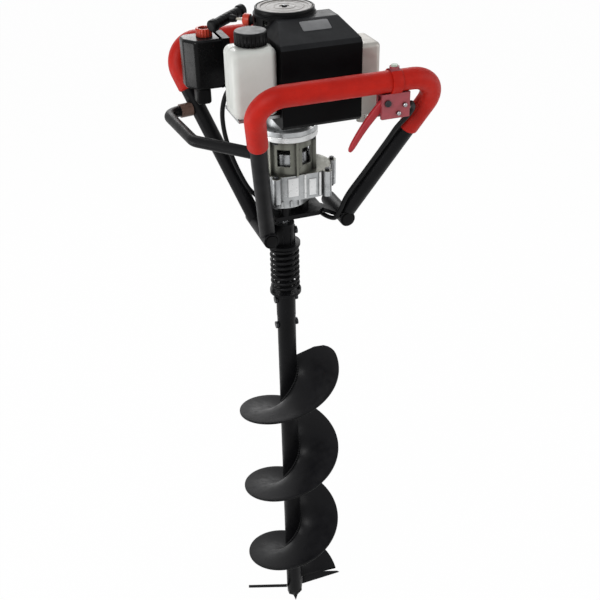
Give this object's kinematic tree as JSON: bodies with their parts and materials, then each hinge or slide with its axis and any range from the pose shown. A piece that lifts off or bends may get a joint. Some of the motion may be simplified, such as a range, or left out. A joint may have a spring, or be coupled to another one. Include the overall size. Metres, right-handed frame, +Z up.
{
  "type": "earth auger",
  "caption": "Hand-held petrol earth auger: engine and reduction gearbox in a two-bar tube frame with foam grips, driving a sprung helical drill bit.",
  "frame": {"origin": "the tip of the pilot point, on the axis of the bit", "axes": "+Z up along the bit; the handle bars run along X; the front bar, with the throttle, is on the -Y side"},
  "size_m": [0.3875, 0.368, 1.369],
  "materials": {
    "foam_red": "closed-cell foam, slightly shiny",
    "frame_black": "gloss black paint on steel tube",
    "bit_black": "satin black paint on steel",
    "plastic_black": "moulded, slightly shiny",
    "plastic_grey": "moulded, matt",
    "plastic_red": "moulded, slightly shiny",
    "knob_orange": "moulded, slightly shiny",
    "bracket_red": "moulded, slightly shiny",
    "button_pale": "moulded, matt",
    "tank_white": "blow-moulded, slightly translucent",
    "disc_beige": "moulded, matt",
    "cord_black": "smooth sheath",
    "hose_dark": "smooth fuel hose",
    "rope_pale": "braided cord",
    "cast_aluminium": "bright die casting",
    "steel": "turned and ground",
    "dark_steel": "blackened",
    "muffler_steel": "pressed sheet, heat tinted",
    "filter_foam": "oiled foam"
  },
  "bodies": {
    "powerhead": {"front_handle_tube": "frame_black", "rear_handle_tube": "frame_black", "side_rail": "frame_black", "base_frame": "frame_black", "front_grip": "foam_red", "rear_grip": "foam_red", "throttle_bracket": "bracket_red", "throttle_cable": "cord_black", "crankcase_lower": "cast_aluminium", "crankcase_upper": "cast_aluminium", "engine_cylinder": "cast_aluminium", "cylinder_cover": "plastic_black", "fan_housing": "plastic_black", "starter_housing": "plastic_black", "starter_disc": "disc_beige", "engine_pins": "steel", "connecting_rod": "steel", "piston": "cast_aluminium", "engine_bearings": "steel", "spark_plug": "button_pale", "ignition_coil": "plastic_grey", "intake_manifold": "plastic_grey", "carburettor": "cast_aluminium", "filter_base": "plastic_black", "filter_element": "filter_foam", "filter_cover": "plastic_black", "fuel_tank": "tank_white", "fuel_hose": "hose_dark", "muffler": "muffler_steel", "gearbox_upper": "cast_aluminium", "bearing_plate": "cast_aluminium", "gearbox_lower": "cast_aluminium", "gear_bearings": "steel", "fasteners": "dark_steel"},
    "drive": {"output_shaft": "steel", "output_gear": "steel", "drive_collar": "bit_black", "collar_bolt": "dark_steel", "shock_spring": "bit_black"},
    "bit": {"lower_sleeve": "bit_black", "coupling_pins": "dark_steel", "auger_pipe": "bit_black", "auger_flight": "bit_black", "cutter_blades": "bit_black", "pilot_point": "bit_black"},
    "lay": {"layshaft": "steel"},
    "input": {"input_pinion": "steel", "clutch_drum": "steel"},
    "crank": {"crankshaft": "steel", "flywheel": "cast_aluminium", "clutch_shoes": "dark_steel"},
    "pull": {"starter_handle": "plastic_black", "starter_rope": "rope_pale"},
    "pulley": {"starter_pulley": "button_pale"},
    "lever": {"throttle_lever": "plastic_red"},
    "arm": {"throttle_arm": "steel"},
    "choke": {"choke_lever": "plastic_red"},
    "button": {"stop_button": "button_pale"},
    "cap": {"fuel_cap": "plastic_black"},
    "knob": {"filter_knob": "knob_orange"}
  },
  "joints": [
    {"name": "auger_spin", "type": "hinge", "parent": "powerhead", "child": "drive", "pos_m": [0, 0, 1], "axis": [0, 0, 1], "continuous": true},
    {"name": "shock", "type": "slide", "parent": "drive", "child": "bit", "axis": [0, 0, 1], "range_m": [0, 0.02], "stiffness_N_per_m": 15000, "springref_m": -0.005, "deforming": ["shock_spring"]},
    {"name": "layshaft_spin", "type": "hinge", "parent": "powerhead", "child": "lay", "pos_m": [0.042, 0, 1.06], "axis": [0, 0, 1], "continuous": true},
    {"name": "input_spin", "type": "hinge", "parent": "powerhead", "child": "input", "pos_m": [0.012, 0, 1.1], "axis": [0, 0, 1], "continuous": true},
    {"name": "crank_spin", "type": "hinge", "parent": "powerhead", "child": "crank", "pos_m": [0.012, 0, 1.25], "axis": [0, 0, 1], "continuous": true},
    {"name": "starter_pull", "type": "slide", "parent": "powerhead", "child": "pull", "axis": [-0.7547, 0.6561, 0], "range_m": [0, 0.7], "stiffness_N_per_m": 15, "springref_m": -0.6},
    {"name": "pulley_spin", "type": "hinge", "parent": "powerhead", "child": "pulley", "pos_m": [0.012, 0, 1.342], "axis": [0, 0, 1], "range_deg": [-2, 1345]},
    {"name": "throttle_squeeze", "type": "hinge", "parent": "powerhead", "child": "lever", "pos_m": [0.111, -0.166, 1.2553], "axis": [0, 1, 0], "range_deg": [0, 36], "stiffness_Nm_per_rad": 0.4, "springref_deg": -17.19},
    {"name": "throttle_turn", "type": "hinge", "parent": "powerhead", "child": "arm", "pos_m": [-0.0518, 0.088, 1.27], "axis": [0, 0, 1], "range_deg": [-1, 64]},
    {"name": "choke_turn", "type": "hinge", "parent": "powerhead", "child": "choke", "pos_m": [-0.03752, 0.088, 1.27], "axis": [0, 0, -1], "range_deg": [0, 60]},
    {"name": "stop_press", "type": "slide", "parent": "powerhead", "child": "button", "axis": [0, 0, -1], "range_m": [0, 0.0025], "stiffness_N_per_m": 600, "springref_m": -0.001},
    {"name": "cap_lift", "type": "slide", "parent": "powerhead", "child": "cap", "axis": [0, 0, 1], "range_m": [0, 0.06]},
    {"name": "knob_turn", "type": "hinge", "parent": "powerhead", "child": "knob", "pos_m": [-0.098, 0.088, 1.311], "axis": [0, 0, 1], "range_deg": [0, 360]}
  ],
  "couplings": [
    {"joint": "layshaft_spin", "follows": "auger_spin", "ratio": -5},
    {"joint": "input_spin", "follows": "auger_spin", "ratio": 20},
    {"joint": "pulley_spin", "follows": "starter_pull", "rad_per_m": 33.333},
    {"joint": "throttle_turn", "follows": "throttle_squeeze", "ratio": 1.75}
  ]
}
